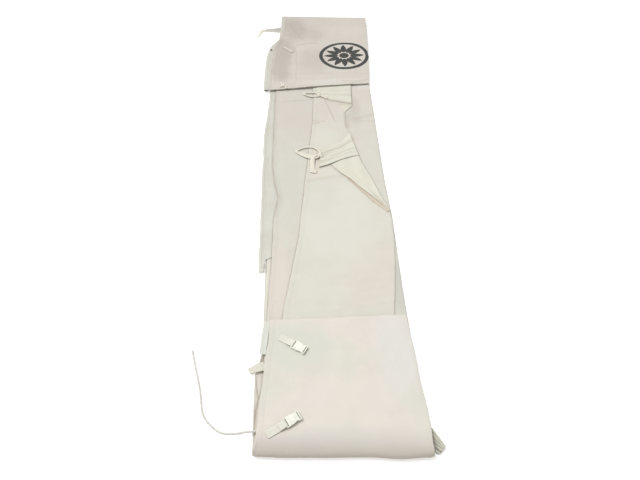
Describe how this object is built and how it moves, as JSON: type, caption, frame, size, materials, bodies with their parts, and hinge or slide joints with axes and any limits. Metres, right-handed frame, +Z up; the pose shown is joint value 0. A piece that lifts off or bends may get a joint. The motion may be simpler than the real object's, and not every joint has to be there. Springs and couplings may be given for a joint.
{
  "type": "folded canvas cover bag",
  "caption": "Long off-white canvas cover bag lying flat, both ends folded over onto the middle, with cotton ties, side-release buckles on webbing stubs, a drawcord and a dark printed emblem.",
  "frame": {"origin": "centre of the folded pile's resting face, on the floor", "axes": "+Z up, +Y along the bag from the near fold to the far fold, +X across the bag to its right"},
  "size_m": [0.8539, 2.7738, 0.0417],
  "materials": {
    "canvas": "matt cotton canvas",
    "lining": "matt cotton lining",
    "cotton_tape": "cream herringbone tape and webbing",
    "ivory_plastic": "moulded acetal, satin",
    "cord": "braided cord",
    "emblem_print": "matt screen print",
    "aged_brass": "tarnished"
  },
  "bodies": {
    "root": {"back_panel": "canvas", "back_lining": "lining", "left_facing": "canvas", "left_facing_rolled_end": "canvas", "left_front_panel": "canvas", "right_side_panel": "canvas", "front_panel": "canvas", "gathered_end": "canvas", "near_fold_outer": "canvas", "near_fold_lining": "lining", "far_fold_outer": "canvas", "far_fold_lining": "lining", "upper_tie_tab": "canvas"},
    "near_flap": {"near_flap_outer": "canvas", "near_flap_lining": "lining", "side_binding_tape": "cotton_tape"},
    "far_flap": {"far_flap_outer": "canvas", "far_flap_lining": "lining", "far_flap_rolled_hem": "canvas", "far_flap_webbing_stub": "cotton_tape", "far_flap_hem_knot": "cotton_tape", "emblem": "emblem_print", "band_eyelet": "aged_brass"},
    "turned_corner": {"turned_back_corner": "canvas", "lower_tie_tab": "canvas"},
    "lower_tie": {"lower_tie_loop": "cotton_tape", "lower_tie_tail": "cotton_tape"},
    "upper_tie": {"upper_tie_tape": "cotton_tape"},
    "side_tie": {"side_tie_tape": "cotton_tape"},
    "side_loop": {"side_loop_tape": "cotton_tape"},
    "cord": {"drawcord": "cord", "drawcord_tip": "cord"},
    "lower_buckle_strap": {"lower_buckle_webbing": "cotton_tape", "lower_buckle_plug_base": "ivory_plastic"},
    "lower_buckle_left_arm": {"lower_buckle_left_arm": "ivory_plastic"},
    "lower_buckle_right_arm": {"lower_buckle_right_arm": "ivory_plastic"},
    "lower_buckle_socket": {"lower_buckle_socket": "ivory_plastic"},
    "upper_buckle_strap": {"upper_buckle_webbing": "cotton_tape", "upper_buckle_plug_base": "ivory_plastic"},
    "upper_buckle_left_arm": {"upper_buckle_left_arm": "ivory_plastic"},
    "upper_buckle_right_arm": {"upper_buckle_right_arm": "ivory_plastic"},
    "upper_buckle_socket": {"upper_buckle_socket": "ivory_plastic"}
  },
  "joints": [
    {"name": "near_flap_fold", "type": "hinge", "parent": "root", "child": "near_flap", "pos_m": [0, -1.3516, 0.02], "axis": [0.9994, -0.0349, 0], "range_deg": [0, 179.5], "deforming": ["near_fold_outer", "near_fold_lining"]},
    {"name": "far_flap_fold", "type": "hinge", "parent": "root", "child": "far_flap", "pos_m": [0, 1.3506, 0.02], "axis": [-0.9962, 0.0872, 0], "range_deg": [0, 179.5], "deforming": ["far_fold_outer", "far_fold_lining"]},
    {"name": "turned_corner_lift", "type": "hinge", "parent": "root", "child": "turned_corner", "pos_m": [0.128, 0.198, 0.0127], "axis": [-0.2627, 0.9649, 0], "range_deg": [0, 120]},
    {"name": "lower_tie_lift", "type": "hinge", "parent": "turned_corner", "child": "lower_tie", "pos_m": [-0.03, 0.01, 0.0182], "axis": [0.169, 0.9856, 0], "range_deg": [0, 60]},
    {"name": "upper_tie_lift", "type": "hinge", "parent": "root", "child": "upper_tie", "pos_m": [-0.008, 0.525, 0.0156], "axis": [0, 1, 0], "range_deg": [0, 70]},
    {"name": "side_tie_lift", "type": "hinge", "parent": "root", "child": "side_tie", "pos_m": [-0.256, 1.27, 0.002], "axis": [0, 1, 0], "range_deg": [0, 75]},
    {"name": "side_loop_lift", "type": "hinge", "parent": "root", "child": "side_loop", "pos_m": [-0.262, -1.064, 0.0104], "axis": [0, 1, 0], "range_deg": [0, 80]},
    {"name": "drawcord_pull", "type": "slide", "parent": "root", "child": "cord", "axis": [-1, 0, 0], "range_m": [0, 0.09]},
    {"name": "lower_buckle_strap_lift", "type": "hinge", "parent": "near_flap", "child": "lower_buckle_strap", "pos_m": [-0.236, -1.302, 0.0386], "axis": [0.515, -0.8572, 0], "range_deg": [0, 100]},
    {"name": "lower_buckle_release", "type": "slide", "parent": "lower_buckle_strap", "child": "lower_buckle_socket", "axis": [0.8538, 0.513, -0.0889], "range_m": [0, 0.04], "deforming": ["lower_buckle_left_arm", "lower_buckle_right_arm"]},
    {"name": "lower_buckle_left_arm_squeeze", "type": "hinge", "parent": "lower_buckle_strap", "child": "lower_buckle_left_arm", "pos_m": [-0.16858, -1.24924, 0.03553], "axis": [-0.0762, -0.0458, -0.996], "range_deg": [0, 10]},
    {"name": "lower_buckle_right_arm_squeeze", "type": "hinge", "parent": "lower_buckle_strap", "child": "lower_buckle_right_arm", "pos_m": [-0.15776, -1.26724, 0.03553], "axis": [0.0762, 0.0458, 0.996], "range_deg": [0, 10]},
    {"name": "upper_buckle_strap_lift", "type": "hinge", "parent": "near_flap", "child": "upper_buckle_strap", "pos_m": [-0.203, -0.954, 0.0242], "axis": [-0.5417, -0.8406, 0], "range_deg": [0, 100]},
    {"name": "upper_buckle_release", "type": "slide", "parent": "upper_buckle_strap", "child": "upper_buckle_socket", "axis": [0.8406, -0.5417, 0], "range_m": [0, 0.04], "deforming": ["upper_buckle_left_arm", "upper_buckle_right_arm"]},
    {"name": "upper_buckle_left_arm_squeeze", "type": "hinge", "parent": "upper_buckle_strap", "child": "upper_buckle_left_arm", "pos_m": [-0.13503, -0.98532, 0.0287], "axis": [0, 0, -1], "range_deg": [0, 10]},
    {"name": "upper_buckle_right_arm_squeeze", "type": "hinge", "parent": "upper_buckle_strap", "child": "upper_buckle_right_arm", "pos_m": [-0.1464, -1.00297, 0.0287], "axis": [0, 0, 1], "range_deg": [0, 10]}
  ]
}
